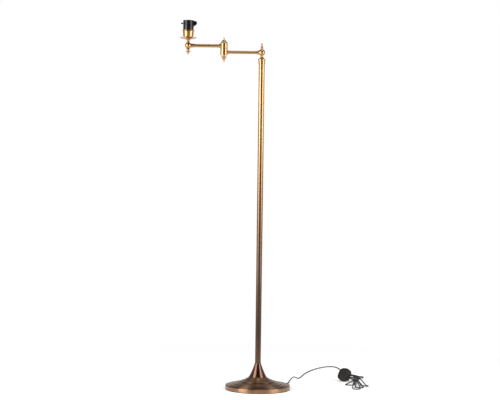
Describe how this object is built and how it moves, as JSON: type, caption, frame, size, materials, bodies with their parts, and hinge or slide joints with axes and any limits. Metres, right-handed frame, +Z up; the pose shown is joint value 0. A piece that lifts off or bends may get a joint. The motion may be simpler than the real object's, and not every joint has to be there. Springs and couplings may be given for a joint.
{
  "type": "bridge floor lamp",
  "caption": "Floor lamp with a weighted round base, a slim column and a two-part swinging bridge arm that carries an upright switched lampholder; flex and mains plug lie beside it.",
  "frame": {"origin": "centre of the base's underside, on the floor under the column", "axes": "+Z up along the column, arms at rest reach out along -X, flex leaves the base towards +X and +Y"},
  "size_m": [0.7328, 0.7301, 1.3813],
  "materials": {
    "brass": "antique brass, polished and lacquered, bright gold towards the top and brown towards the foot",
    "base_brass": "antique brass, lathe brushed, with radial highlights",
    "felt": "dark felt",
    "iron": "painted cast iron",
    "steel": "zinc plated steel",
    "flex": "brown black flexible PVC",
    "tie": "black flexible PVC",
    "plug": "black moulded plastic, slightly rough",
    "pins": "nickel plated brass",
    "holder": "black phenolic moulding, glossy",
    "contacts": "bright brass strip",
    "ceramic": "white steatite",
    "fibre": "brown vulcanised fibre"
  },
  "bodies": {
    "stand": {"base_felt": "felt", "base_cover": "base_brass", "base_weight": "iron", "base_washer": "steel", "base_nut": "steel", "column_trumpet": "brass", "column_tube": "brass", "tie_rod": "steel", "column_ring": "brass", "column_cap": "brass", "stand_flex": "flex", "flex_grommet": "tie", "flex_bow": "flex", "flex_hank": "flex", "hank_tie": "tie", "flex_tail": "flex", "plug_base": "plug", "plug_cover": "plug", "plug_pin_earth": "pins", "plug_pin_line": "pins", "plug_pin_neutral": "pins", "plug_grommet": "tie"},
    "inner_arm": {"column_ball": "brass", "swivel_nipple": "steel", "swivel_nut": "steel", "column_finial": "brass", "inner_arm_tube": "brass", "inner_arm_flex": "flex", "knuckle_lower_barrel": "brass", "knuckle_washer": "fibre", "knuckle_finial": "brass"},
    "outer_arm": {"knuckle_upper_barrel": "brass", "knuckle_nipple": "steel", "knuckle_nut": "steel", "knuckle_spike": "brass", "outer_arm_tube": "brass", "outer_arm_flex": "flex", "end_ball": "brass", "end_finial": "brass", "riser": "brass", "riser_nipple": "steel", "shade_pan": "brass", "holder_cup": "brass", "lampholder_body": "holder", "screw_shell": "contacts", "contact_block": "ceramic", "centre_contact": "contacts", "switch_hood": "holder"},
    "switch": {"switch_bar": "holder"}
  },
  "joints": [
    {"name": "inner_arm_swing", "type": "hinge", "parent": "stand", "child": "inner_arm", "pos_m": [0, 0, 1.264], "axis": [0, 0, 1], "range_deg": [-170, 170]},
    {"name": "outer_arm_swing", "type": "hinge", "parent": "inner_arm", "child": "outer_arm", "pos_m": [-0.142, 0, 1.287], "axis": [0, 0, 1], "range_deg": [-150, 150]},
    {"name": "switch_push", "type": "slide", "parent": "outer_arm", "child": "switch", "axis": [1, 0, 0], "range_m": [0, 0.004]}
  ]
}
